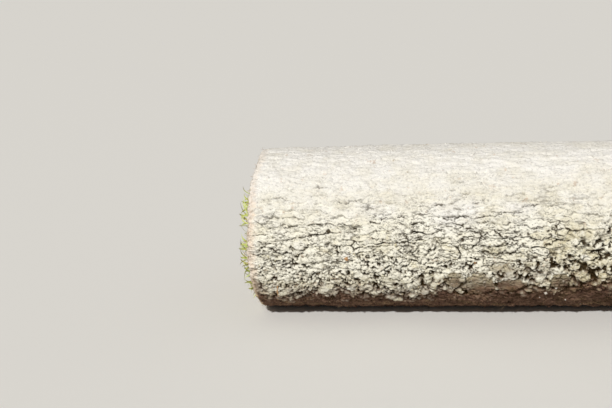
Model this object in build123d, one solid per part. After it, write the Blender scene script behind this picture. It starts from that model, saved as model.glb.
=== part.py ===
"""A roll of turf, lying on its side: one strip of lawn wound up with the grass inside and the soil outside.

The strip is soil, then a mat of thatch and roots, then grass. In the roll the grass of each turn is pressed flat
against the soil of the next one, so the pitch of the winding is soil, thatch and a thin layer of pressed grass.
The roll is soft, so it has sagged into an oval that is wider than tall. It rests on the wide curve of its sole,
where its weight has pressed the soil flat, and the hollow at its heart is a flattened comma.

The section lies in the YZ plane and the roll's axis runs along X. The origin is on the floor, below the middle of
the roll. Sizes are in millimetres and angles in degrees.
"""

import math
import os

from build123d import *

# The strip
STRIP_WIDTH = 610.0  # 24 inches, which is the length of the roll
STRIP_LENGTH = 1372.0  # 54 inches, measured along the middle of its thickness
SOIL = 20.0
THATCH = 12.0
PRESSED_GRASS = 4.0  # between one turn and the next

# The edges of the strip
RIM = 6.0  # width of the crumbled edge of the soil, along both ends of the roll
TAIL_BEVEL = 9.0  # width of the crumbled edge of the soil at the outer end of the strip
THATCH_SETBACK = 3.0  # the soft thatch stands back from the cut soil
GAP_DEPTH = 28.0  # how far the gap between the turns is open, from each end of the roll

# The winding
HEART_RADIUS = 11.0  # tightest bend, on the grass side
INNER_END = 265.0  # bearing of the inner end of the strip, seen from the heart
SPREAD = 22.0  # how far apart the centres of the front and rear curves are
CROWN_DROP = 5.0  # how far the centre of the crown's curve lies below them
SOLE_RISE = 180.0  # how far the centre of the sole's curve lies above them
PRESSED_FLAT = 1.2  # how deep the soil is pressed flat where the roll rests

MAT = SOIL + THATCH
PITCH = MAT + PRESSED_GRASS
TURN = 360.0

# The innermost turn. Each turn further out has the same four centres, and radii that are one pitch larger.
FRONT_CENTRE = Vector(-SPREAD / 2, PITCH / 4)
REAR_CENTRE = Vector(SPREAD / 2, -PITCH / 4)
FRONT_RADIUS = HEART_RADIUS + MAT
REAR_RADIUS = FRONT_RADIUS - PITCH / 2


def reach(distance):
    """How the centre of a wide curve lies from the midpoint of the front and rear centres.

    The wide curve meets those two smoothly where its centre is half a pitch nearer to one of theirs than to the
    other, which puts it on a hyperbola about the two.
    """
    along = FRONT_CENTRE.normalized()
    across = Vector(along.Y, -along.X)
    return along * (PITCH / 4 * math.hypot(1, distance / (SPREAD / 2))) + across * distance


def bearing(start, end):
    """The direction from one point of the section to another."""
    return math.degrees(math.atan2(end.Y - start.Y, end.X - start.X))


CROWN_CENTRE = -reach(CROWN_DROP)
SOLE_CENTRE = reach(SOLE_RISE)
CROWN_RADIUS = REAR_RADIUS + (REAR_CENTRE - CROWN_CENTRE).length
SOLE_RADIUS = FRONT_RADIUS + (FRONT_CENTRE - SOLE_CENTRE).length

FRONT_START = bearing(CROWN_CENTRE, FRONT_CENTRE)
SOLE_START = bearing(SOLE_CENTRE, FRONT_CENTRE) + TURN
REAR_START = bearing(SOLE_CENTRE, REAR_CENTRE) + TURN
CROWN_START = bearing(CROWN_CENTRE, REAR_CENTRE) + TURN

# Centre, radius on the soil side, first and last angle of each curve, in the order in which the strip winds inwards
CURVES = [
    (FRONT_CENTRE, FRONT_RADIUS, FRONT_START, SOLE_START),
    (SOLE_CENTRE, SOLE_RADIUS, SOLE_START, REAR_START),
    (REAR_CENTRE, REAR_RADIUS, REAR_START, CROWN_START),
    (CROWN_CENTRE, CROWN_RADIUS, CROWN_START, FRONT_START + TURN),
]


def curves_outwards():
    """The curves of the winding from its inner end outwards, without end: centre, radius, low and high angle."""
    turn = 0
    while True:
        for centre, radius, first, last in reversed(CURVES):
            low = first - turn * TURN
            high = min(last - turn * TURN, INNER_END)
            if high > low:
                yield centre, radius + turn * PITCH, low, high
        turn += 1


def outer_end():
    """Where the strip is used up: the centre and radius of the last curve, and an angle on it."""
    left = STRIP_LENGTH
    for centre, radius, low, high in curves_outwards():
        sweep = math.degrees(left / (radius - MAT / 2))
        if sweep <= high - low:
            return centre, radius, high - sweep
        left -= math.radians(high - low) * (radius - MAT / 2)


TAIL_CENTRE, TAIL_RADIUS, TAIL = outer_end()


def across_strip(centre, radius, angle):
    """The plane across the strip at an angle of a curve: its x is along the roll and its y goes into the soil."""
    inwards = Vector(0, -radius, 0).rotate(Axis.X, angle)
    onwards = Vector(0, 0, radius).rotate(Axis.X, angle)
    start = Vector(0, centre.X, centre.Y) - inwards
    return Plane(start, x_dir=(1, 0, 0), z_dir=-onwards)


def mat_section():
    """The section of the mat across the strip: soil with crumbled edges, and thatch that stands back from them."""
    side = STRIP_WIDTH / 2
    bulge = RIM * (1 - math.sqrt(0.5))
    half = [
        (side - RIM, 0),
        (side - bulge, bulge),
        (side, RIM),
        (side, SOIL),
        (side - THATCH_SETBACK, SOIL),
        (side - THATCH_SETBACK, MAT),
    ]
    return make_face(Polyline(half + [(-x, depth) for x, depth in reversed(half)], close=True))


def pressed_section():
    """The section of the pressed grass, which ends short of the mat on both sides."""
    return Pos(0, MAT + PRESSED_GRASS / 2) * Rectangle(STRIP_WIDTH - 2 * GAP_DEPTH, PRESSED_GRASS)


def wound(section, end):
    """A section of the strip, turned about the centre of each curve, from the tail inwards to an angle."""
    solids = []
    for centre, radius, low, high in curves_outwards():
        low = max(low, TAIL)
        high = min(high, end)
        if high > low:
            axis = Axis((0, centre.X, centre.Y), (1, 0, 0))
            solids.append(revolve(across_strip(centre, radius, low) * section, axis, high - low))
        if low == TAIL:
            return solids


def tail_corner():
    """What has crumbled off the corner of the soil at the outer end of the strip."""
    corner = across_strip(TAIL_CENTRE, TAIL_RADIUS, TAIL)
    beyond = TAIL_BEVEL / 2
    wedge = Polyline((-beyond, -beyond), (TAIL_BEVEL + beyond, -beyond), (-beyond, TAIL_BEVEL + beyond), close=True)
    across = Plane(corner.origin, x_dir=corner.y_dir, z_dir=-corner.x_dir)
    return extrude(across * make_face(wedge), STRIP_WIDTH, both=True)


def laid_down(roll):
    """The roll at rest on the floor, with its sole pressed flat."""
    box = roll.bounding_box()
    floor = Plane.XY.offset(box.min.Z + PRESSED_FLAT)
    roll = split(roll, floor, keep=Keep.TOP)
    return Pos(0, -box.center().Y, -floor.origin.Z) * roll


if __name__ == "__main__":
    os.makedirs("parts", exist_ok=True)
    layers = wound(mat_section(), INNER_END) + wound(pressed_section(), INNER_END - TURN)
    turf_roll = laid_down(Part() + layers - tail_corner())
    export_step(turf_roll, "parts/turf_roll.step")

    size = turf_roll.bounding_box().size
    print(f"outer end at {TAIL % TURN - TURN:.0f} degrees, {(INNER_END - TAIL) / TURN:.2f} turns")
    print(f"roll {size.X:.1f} x {size.Y:.1f} x {size.Z:.1f}, {turf_roll.volume / 1e6:.2f} litres")
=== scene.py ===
"""The looks of a roll of turf that lies on its side, soil outside and grass inside.

The frame gives the roll as one plain solid. This script stands a detailed roll in its place: a weathered
crust of soil all round, the cut soil and the fibrous thatch of each turn on both ends, grass pressed between
the turns and hanging in the hollow, and loose fibres, roots, crumbs and stones. Sizes are in metres and
angles in degrees.

A place on the roll is given by its x, its length along the soil side from the outer end of the strip, and its
depth below that side. A piece carries numbers at its points, such as crack_and_shade and damp_and_shade, from
which its material makes colours, painted shade and painted highlights among them.
"""

import cmath
import functools
import itertools
import math

import bpy
import numpy as np
from mathutils import Matrix, Vector


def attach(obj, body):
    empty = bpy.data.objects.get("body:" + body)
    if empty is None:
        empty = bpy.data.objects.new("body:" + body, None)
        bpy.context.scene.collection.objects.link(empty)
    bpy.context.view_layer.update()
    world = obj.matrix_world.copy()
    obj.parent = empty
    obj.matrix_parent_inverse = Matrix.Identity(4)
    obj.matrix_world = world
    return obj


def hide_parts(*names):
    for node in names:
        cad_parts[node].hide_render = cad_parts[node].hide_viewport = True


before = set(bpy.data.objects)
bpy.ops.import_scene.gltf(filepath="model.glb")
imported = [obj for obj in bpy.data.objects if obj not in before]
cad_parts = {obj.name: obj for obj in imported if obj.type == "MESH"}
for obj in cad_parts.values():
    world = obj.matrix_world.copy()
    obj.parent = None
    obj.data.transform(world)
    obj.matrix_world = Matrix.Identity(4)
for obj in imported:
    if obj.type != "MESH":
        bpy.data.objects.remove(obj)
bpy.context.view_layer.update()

MM = 0.001
TURN = 360.0

# The strip and its winding, the same sizes as the solid's
STRIP_WIDTH = 610 * MM
STRIP_LENGTH = 1372 * MM
SOIL = 20 * MM
THATCH = 12 * MM
PRESSED_GRASS = 4 * MM
RIM = 6 * MM
TAIL_BEVEL = 9 * MM
THATCH_SETBACK = 3 * MM
GAP_DEPTH = 28 * MM
HEART_RADIUS = 11 * MM
INNER_END = 265.0
SPREAD = 22 * MM
CROWN_DROP = 5 * MM
SOLE_RISE = 180 * MM
PRESSED_FLAT = 1.2 * MM
HEIGHT = 234.5 * MM

MAT = SOIL + THATCH
PITCH = MAT + PRESSED_GRASS
SIDE = STRIP_WIDTH / 2

# The ends of the roll
END_REACH = 70 * MM  # how far from each end the roll is uneven
END_UNEVENNESS = 2.2 * MM
END_BULGE = 2.5 * MM  # of the left end, halfway up
END_FOOT = 4 * MM  # at its bottom
END_WORN_BACK = 3 * MM  # at its top
ENDS = ((-1, "left"), (1, "right"))  # the side along x, and its name
END_INSET = 4 * MM  # how much further in than the gap its two faces go
END_STEP = 1.5 * MM
RIM_COLUMNS = 7
CUT_COLUMNS = 13
PRESSED_INSET = 9 * MM  # how far the pressed grass stands back from the end
LEFT_REACH = 12.5 * MM  # how far a blade stands out past the end of the roll, at the most
RIGHT_REACH = 10 * MM
STRAND_LOWEST = 0.6 * MM

# The crust
PLATED_AT = 70 * MM  # the middle of the stretch whose soil lies in plates rather than in crumbs
PLATED_SPAN = 110 * MM
UNDER_TAIL = 35 * MM  # how far the crust goes on below the outer end of the strip

# The camera, fitted to the outline of the roll in the photograph, whose frame is 612 by 408 pixels
PHOTO_WIDTH = 612
PHOTO_HEIGHT = 408
FOCAL_PIXELS = 1014.0
CAMERA_AZIMUTH = 9.5
CAMERA_ELEVATION = 17.0
CAMERA_ROLL = -3.8
CAMERA_DISTANCE = 1.548
CAMERA_AIM = Vector((-0.240, 0.0, 0.1485))
SENSOR_WIDTH = 36
NEAREST = 0.05
FARTHEST = 60

# The light
FILL = 0.25
FILL_COLOUR = (1.0, 0.955, 0.89, 1.0)
KEY = 2.74
KEY_COLOUR = (1.0, 0.985, 0.955)
KEY_SOFTNESS = 3.0
KEY_AZIMUTH = -14.0
KEY_ELEVATION = 44.0
FLOOR_SIZE = 16.0

random = np.random.default_rng(20)


# Noise

def hashed(i, j, seed):
    """Random numbers from 0 to 1 for whole numbers i and j, the same in each run."""
    n = i.astype(np.int64).astype(np.uint32) * np.uint32(374761393)
    n = n ^ (j.astype(np.int64).astype(np.uint32) * np.uint32(668265263))
    n = n ^ np.uint32(seed * 144269 + 1013)
    n = (n ^ (n >> np.uint32(13))) * np.uint32(1274126177)
    n = (n ^ (n >> np.uint32(15))) * np.uint32(2246822519)
    return ((n ^ (n >> np.uint32(16))) & np.uint32(0xFFFFFF)) / float(0x1000000)


def noise(x, y, size, seed):
    """Smooth noise, about -1 to 1, with waves of the given size."""
    x = x / size
    y = y / size
    i = np.floor(x)
    j = np.floor(y)
    u = x - i
    v = y - j
    fade_u = u * u * u * (u * (u * 6 - 15) + 10)
    fade_v = v * v * v * (v * (v * 6 - 15) + 10)
    total = 0
    for a in (0, 1):
        for b in (0, 1):
            turned = hashed(i + a, j + b, seed) * 2 * math.pi
            slope = np.cos(turned) * (u - a) + np.sin(turned) * (v - b)
            total = total + slope * (fade_u if a else 1 - fade_u) * (fade_v if b else 1 - fade_v)
    return total * 1.5


def waves(x, length):
    """Noise at these places, as a function of the size of its waves in millimetres and a seed. Squeezed waves
    are shorter along the winding."""
    return lambda size, seed, squeeze=1.0: noise(x, length * squeeze, size * MM, seed)


def ramp(value, low, high):
    """0 below low, 1 above high, and smooth between."""
    t = np.clip((value - low) / (high - low), 0, 1)
    return t * t * (3 - 2 * t)


AROUND = [(a, b) for a in (-1, 0, 1) for b in (-1, 0, 1)]


def cells(x, y, size_x, size_y, seed):
    """Irregular cells: distance to the border, the cell's random number, how much that border runs across the
    roll, and how far up the cell a point lies, from about -0.5 to 0.5."""
    x = x / size_x
    y = y / size_y
    i = np.floor(x)
    j = np.floor(y)
    site_x = np.array([i + a + 0.1 + 0.8 * hashed(i + a, j + b, seed) for a, b in AROUND])
    site_y = np.array([j + b + 0.1 + 0.8 * hashed(i + a, j + b, seed + 71) for a, b in AROUND])
    own = np.array([hashed(i + a, j + b, seed + 5) for a, b in AROUND])

    def pick(values, which):
        return np.take_along_axis(values, which[None], axis=0)[0]

    home = np.argmin((site_x - x) ** 2 + (site_y - y) ** 2, axis=0)
    home_x = pick(site_x, home)
    home_y = pick(site_y, home)
    dx = site_x - home_x
    dy = site_y - home_y
    apart = np.maximum(np.hypot(dx, dy), 1e-6)
    half_way = (((site_x + home_x) / 2 - x) * dx + ((site_y + home_y) / 2 - y) * dy) / apart
    half_way = np.where(apart > 1e-6, half_way, np.inf)
    nearest = np.argmin(half_way, axis=0)
    border = pick(half_way, nearest) * min(size_x, size_y)
    return border, pick(own, home), pick(np.abs(dx) / apart, nearest), y - home_y


def rubble(x, length, size, share, seed, rise, sunk):
    """Loose angular crumbs of about one size, of which a share is there: the height of the uppermost one,
    times a rise and less what it is sunk, and its random number. Sizes are in millimetres."""
    x = x / (size * MM)
    y = length / (size * MM)
    i = np.floor(x)
    j = np.floor(y)
    top = np.full(x.shape, -1.0)
    own = np.zeros(x.shape)
    for a, b in AROUND:
        one = hashed(i + a, j + b, seed)
        two = hashed(i + a, j + b, seed + 1)
        three = (one * 97.31 + two * 13.7) % 1
        four = (one * 31.17 + two * 71.9) % 1
        across = x - (i + a + one)
        up = y - (j + b + two)
        cosine = np.cos(three * math.pi)
        sine = np.sin(three * math.pi)
        long = np.abs(cosine * across + sine * up) / (0.50 + 0.38 * four)
        short = np.abs(cosine * up - sine * across) / (0.34 + 0.26 * three)
        shape = 1 - long ** 1.7 - short ** 1.7
        here = (shape > 0) & ((four * 7.7 + one * 3.1) % 1 < share)
        dome = np.sqrt(np.maximum(shape, 0))
        lump = 0.55 * (three - 0.5) + (0.22 + 0.4 * four) * dome + 0.25 * across * four
        higher = here & (lump > top)
        top = np.where(higher, lump, top)
        own = np.where(higher, two, own)
    return rise * top - sunk, own


# The winding

def winding():
    """The strip's curves, the outermost first: centre, radius on the soil side, first and last angle."""
    front = complex(-SPREAD / 2, PITCH / 4)
    rear = -front
    front_radius = HEART_RADIUS + MAT
    rear_radius = front_radius - PITCH / 2

    def reach(distance):
        return front / abs(front) * (PITCH / 4 * math.hypot(1, distance / (SPREAD / 2)) - 1j * distance)

    def bearing(start, end):
        return math.degrees(cmath.phase(end - start))

    crown = -reach(CROWN_DROP)
    sole = reach(SOLE_RISE)
    front_start = bearing(crown, front)
    sole_start = bearing(sole, front) + TURN
    rear_start = bearing(sole, rear) + TURN
    crown_start = bearing(crown, rear) + TURN
    turn = [
        (crown, rear_radius + abs(rear - crown), crown_start, front_start + TURN),
        (rear, rear_radius, rear_start, crown_start),
        (sole, front_radius + abs(front - sole), sole_start, rear_start),
        (front, front_radius, front_start, sole_start),
    ]
    curves = []
    left = STRIP_LENGTH
    for turns in itertools.count():
        for centre, radius, first, last in turn:
            radius += turns * PITCH
            last = min(last - turns * TURN, INNER_END)
            swept = min(last - first + turns * TURN, math.degrees(left / (radius - MAT / 2)))
            if swept > 0:
                left -= math.radians(swept) * (radius - MAT / 2)
                curves.append((centre.real, centre.imag, radius, last - swept, last))
        if left < 1e-9:
            return np.array(curves[::-1])


CURVES = winding()
STARTS = np.cumsum([0, *(CURVES[:, 2] * np.radians(CURVES[:, 4] - CURVES[:, 3]))])
TAIL = CURVES[0, 3]
SOIL_LENGTH = STARTS[-1]


def length_at(angle):
    """How far along the soil side an angle of the winding lies from the outer end."""
    k = min(np.searchsorted(CURVES[:, 4], angle), len(CURVES) - 1)
    return STARTS[k] + CURVES[k, 2] * math.radians(angle - CURVES[k, 3])


ONE_TURN = length_at(TAIL + TURN)
HIDDEN_FROM = length_at(INNER_END - TURN)  # where no further turn lies inside this one


def on_winding(length):
    """Centre y and z, radius and angle of the winding at lengths along its soil side."""
    k = np.clip(np.searchsorted(STARTS, length, side="right") - 1, 0, len(CURVES) - 1)
    centre_y, centre_z, radius, first, _ = np.moveaxis(CURVES[k], -1, 0)
    return centre_y, centre_z, radius, first + np.degrees((length - STARTS[k]) / radius)


def section(length, depth):
    """Where a point at a depth below the soil side lies in the section, and the direction outwards there."""
    centre_y, centre_z, radius, angle = on_winding(length)
    out_y = np.cos(np.radians(angle))
    out_z = np.sin(np.radians(angle))
    return centre_y + (radius - depth) * out_y, centre_z + (radius - depth) * out_z, out_y, out_z


# Laid on the floor, in the middle
outline_y, outline_z, _, _ = section(np.linspace(0, ONE_TURN, 4000), 0.0)
CURVES[:, 0] -= (outline_y.min() + outline_y.max()) / 2
CURVES[:, 1] -= outline_z.min() + PRESSED_FLAT


def on_roll(x, length, depth):
    """The points at these places on the roll."""
    y, z, _, _ = section(length, depth)
    return np.stack(np.broadcast_arrays(x, y, z), axis=-1)


def heading(length, along, out, onward):
    """Directions made of a part along the roll, a part outwards and a part along the winding."""
    _, _, out_y, out_z = section(length, 0.0)
    y = out * out_y - onward * out_z
    z = out * out_z + onward * out_y
    return np.stack(np.broadcast_arrays(along, y, z), axis=-1)


def grid(down, across):
    return np.meshgrid(down, across, indexing="ij")


# The camera

def towards(azimuth, elevation):
    """A direction away from the roll, where azimuth 0 is straight in front of it."""
    a = math.radians(azimuth)
    e = math.radians(elevation)
    return Vector((math.sin(a) * math.cos(e), -math.cos(a) * math.cos(e), math.sin(e)))


def camera_axes():
    """The camera's place, and its right, up and backward directions."""
    back = towards(CAMERA_AZIMUTH, CAMERA_ELEVATION)
    level = towards(CAMERA_AZIMUTH + 90, 0)
    upright = back.cross(level)
    r = math.radians(CAMERA_ROLL)
    right = level * math.cos(r) + upright * math.sin(r)
    up = upright * math.cos(r) - level * math.sin(r)
    return CAMERA_AIM + back * CAMERA_DISTANCE, right, up, back


def add_object(name, data):
    thing = bpy.data.objects.new(name, data)
    bpy.context.scene.collection.objects.link(thing)
    return thing


def make_camera():
    place, right, up, back = camera_axes()
    data = bpy.data.cameras.new("camera")
    data.sensor_width = SENSOR_WIDTH
    data.lens = SENSOR_WIDTH * FOCAL_PIXELS / PHOTO_WIDTH
    data.clip_start = NEAREST
    data.clip_end = FARTHEST
    camera = add_object("camera", data)
    camera.matrix_world = Matrix.Translation(place) @ Matrix((right, up, back)).transposed().to_4x4()
    bpy.context.scene.camera = camera


def seen_grid():
    """Where the front and top of the roll show in the photograph: x, length, pixel across and down, depth."""
    x, length = np.meshgrid(np.arange(-SIDE, SIDE, 2 * MM), np.arange(length_at(TAIL + 85), ONE_TURN, MM))
    place, right, up, back = (np.array(v) for v in camera_axes())
    away = on_roll(x, length, 0.0) - place
    depth = -(away @ back)
    across = PHOTO_WIDTH / 2 + FOCAL_PIXELS * (away @ right) / depth
    down = PHOTO_HEIGHT / 2 - FOCAL_PIXELS * (away @ up) / depth
    return x, length, across, down, depth


SEEN = seen_grid()


@functools.cache
def under_pixel(px, py):
    """The x and length of the nearest point of the roll that shows at a pixel of the photograph."""
    x, length, across, down, depth = SEEN
    k = np.argmin(np.hypot(across - px, down - py) + (depth - depth.min()) * 20)
    return x.flat[k], length.flat[k]


# What the photograph shows on the crust, in its pixels

LONG_CRACKS = [
    [(473, 248), (478, 243), (482, 236), (487, 233)], [(494, 231), (500, 234), (506, 239), (517, 242)],
    [(504, 257), (513, 254), (520, 248), (525, 244)], [(545, 246), (551, 244), (558, 240), (566, 237)],
    [(545, 231), (555, 226), (561, 223)], [(555, 226), (558, 234), (565, 236)],
    [(515, 225), (525, 226), (535, 228), (542, 226)],
    [(444, 218), (449, 220), (460, 216), (474, 218), (484, 217), (498, 216), (506, 213)],
    [(452, 244), (457, 251), (462, 254), (459, 260), (452, 262), (438, 265)],
    [(479, 251), (486, 255), (496, 256), (504, 257)], [(585, 251), (595, 252), (604, 254)],
    [(283, 242), (289, 241), (294, 238), (305, 237), (318, 235)],
    [(282, 229), (292, 226), (303, 228), (313, 224), (328, 224), (341, 223), (357, 229)],
    [(370, 223), (378, 223), (383, 218), (396, 218), (405, 217)],
    [(376, 245), (384, 243), (397, 244), (409, 243), (415, 244), (419, 239)],
    [(420, 232), (432, 234), (441, 230)], [(263, 200), (276, 197), (290, 199)],
    [(335, 201), (347, 203), (360, 199)], [(401, 268), (412, 262), (424, 264), (436, 258)],
    [(448, 190), (451, 191), (453, 190)], [(459, 182), (462, 181)], [(464, 192), (467, 195), (471, 193)],
    [(454, 201), (460, 200), (466, 197)], [(472, 202), (477, 203)], [(482, 199), (487, 200)],
    [(437, 206), (445, 204)], [(522, 207), (530, 206), (539, 204)], [(492, 211), (507, 212), (522, 211)],
    [(446, 227), (454, 227)], [(456, 229), (463, 226)], [(435, 230), (447, 232)], [(463, 228), (474, 229)],
    [(497, 247), (506, 246)], [(315, 187), (324, 187), (332, 188)], [(357, 189), (361, 186)],
    [(550, 186), (555, 187)],
]
SMOOTH_PLATES = [
    (456, 281, 10, 8), (479, 285, 17, 10), (513, 285, 16, 6), (560, 282, 10, 8),
    (494, 247, 14, 8), (298, 246, 8, 5), (540, 235, 10, 5),
]
# Patches painted paler than the rest: painted highlight
HIGHLIGHT_PATCHES = [(456, 214, 34, 22), (372, 212, 30, 12), (520, 208, 22, 8)]

# In pixels where they lie, and in millimetres the radius and rise of a clod and the size of a bit
LARGE_CLODS = [
    (263, 219, 9.5, 4.6), (347, 256, 7.0, 2.4), (351, 289, 6.0, 2.6),
    (585, 258, 6.5, 2.4), (299, 246, 8.0, 1.8), (452, 210, 9.0, 1.2),
]
PALE_BITS = [(545, 294, 6.0), (556, 289, 4.2)]
OCHRE_BITS = [(476, 263, 7.0), (347, 258, 5.6), (341, 262, 3.4)]
UPRIGHT_STRAW = [(279, 285), (278.5, 290), (279.5, 295), (279, 300)]

# Tears in the crust: their size along the roll and along the winding in millimetres, their width, a seed, and
# how far one side stands higher in millimetres
TEARS = [(52, 11, 0.055, 151, 1.5), (24, 6.5, 0.06, 154, 1.1), (12, 3.4, 0.08, 157, 0.6)]


# The soil's relief

def beside_lines(x, length):
    """Distance of each point from the nearest of the long cracks."""
    nearest = np.full(x.shape, 1.0)
    for line in LONG_CRACKS:
        knots = [under_pixel(px, py) for px, py in line]
        for (x0, s0), (x1, s1) in zip(knots, knots[1:]):
            span = (x1 - x0) ** 2 + (s1 - s0) ** 2 + 1e-12
            t = np.clip(((x - x0) * (x1 - x0) + (length - s0) * (s1 - s0)) / span, 0, 1)
            nearest = np.minimum(nearest, np.hypot(x - x0 - t * (x1 - x0), length - s0 - t * (s1 - s0)))
    return nearest


def in_patches(x, length, patches, inner, outer):
    """1 in the oval patches of the photograph, fading to 0 between an inner and an outer share of their size,
    and the lines along their lower and upper edges."""
    wave = waves(x, length)
    inside, edge, lip = np.zeros((3, *x.shape))
    ragged_x = (3.5 * wave(9, 143) + 1.2 * wave(3.5, 144)) * MM
    ragged_s = (2.5 * wave(8, 145) + 1.0 * wave(3.5, 146)) * MM
    for px, py, half_width, half_height in patches:
        x0, s0 = under_pixel(px, py)
        x1, _ = under_pixel(px + half_width, py)
        _, s1 = under_pixel(px, py + half_height)
        across = (x + ragged_x - x0) / (abs(x1 - x0) + 1e-6)
        along = (length + ragged_s - s0) / (abs(s1 - s0) + 1e-6)
        distance = np.hypot(across, along)
        inside = np.maximum(inside, 1 - ramp(distance, inner, outer))
        line = np.exp(-((distance - 1) / 0.12) ** 2)
        lip = np.maximum(lip, line * ramp(-along, 0.15, 0.6))
        edge = np.maximum(edge, line * (distance > 0.9) * (1 - ramp(-along, 0.0, 0.5)))
    broken = wave(15, 147) + 0.5 * wave(6, 148)
    return inside, edge * ramp(broken, -0.6, -0.1), lip * ramp(broken, -0.7, -0.1)


def clods_of_photo(x, length):
    """The photograph's large clods: height in millimetres, how pale they are, and a painted shadow line below
    each.
    """
    wave = waves(x, length)
    height, pale, shadow_line = np.zeros((3, *x.shape))
    uneven = 1 + 0.30 * wave(7, 141) + 0.12 * wave(3, 142)
    for px, py, radius, rise in LARGE_CLODS:
        x0, s0 = under_pixel(px, py)
        distance = np.hypot(x - x0, (length - s0) * 1.25) / (radius * MM * uneven)
        dome = np.sqrt(np.clip(1 - distance ** 3, 0, 1))
        height = np.maximum(height, rise * dome ** 0.6)
        pale = np.maximum(pale, ramp(dome, 0, 0.5))
        # A painted shadow line along the lower side of each clod
        line = np.exp(-((distance - 1.07) / 0.10) ** 2) * ramp(length - s0, 0, 0.5 * radius * MM)
        shadow_line = np.maximum(shadow_line, line * min(rise / 4, 1))
    return height, pale, shadow_line


def tear(x, length, size_x, size_s, width, seed):
    """Thin wandering tears, mostly along x: 1 in them, and which side of them stands higher, from -1 to 1."""
    wave = waves(x, length * size_x / size_s)
    level = wave(size_x, seed) + 0.45 * wave(size_x / 2.3, seed + 1) + 0.2 * wave(size_x / 5, seed + 2)
    lip = (ramp(level, -width, width) * 2 - 1) * np.exp(-np.abs(level) / 0.35)
    return np.exp(-(level / width) ** 2), lip


def network(x, length, size_x, size_s, width, share, seed):
    """Plates parted by cracks of varying width: the crack from 0 to 1, the plate's random number, and how far
    up the plate a point lies."""
    wave = waves(x, length)
    border, own, across, up = cells(x, length, size_x * MM, size_s * MM, seed)
    open_here = wave(size_x * 0.9, seed + 31) + 0.5 * wave(size_s * 0.7, seed + 32)
    half = width * np.clip(0.35 + share + 0.9 * open_here - 0.6 * across, 0, 1.5) / 2
    crack_and_shade = (1 - ramp(border / MM, half, half + 0.65)) * ramp(half, 0.06, 0.28)
    return crack_and_shade, own, up


def heap(lowest, *beds):
    """What shows of beds of crumbs on each other, finest first, each with its height and random numbers."""
    height = np.maximum(np.max([bed for bed, _ in beds], axis=0), lowest)
    own = beds[0][1]
    for bed, number in beds[1:]:
        own = np.where(bed >= height, number, own)
    return height, own


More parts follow.
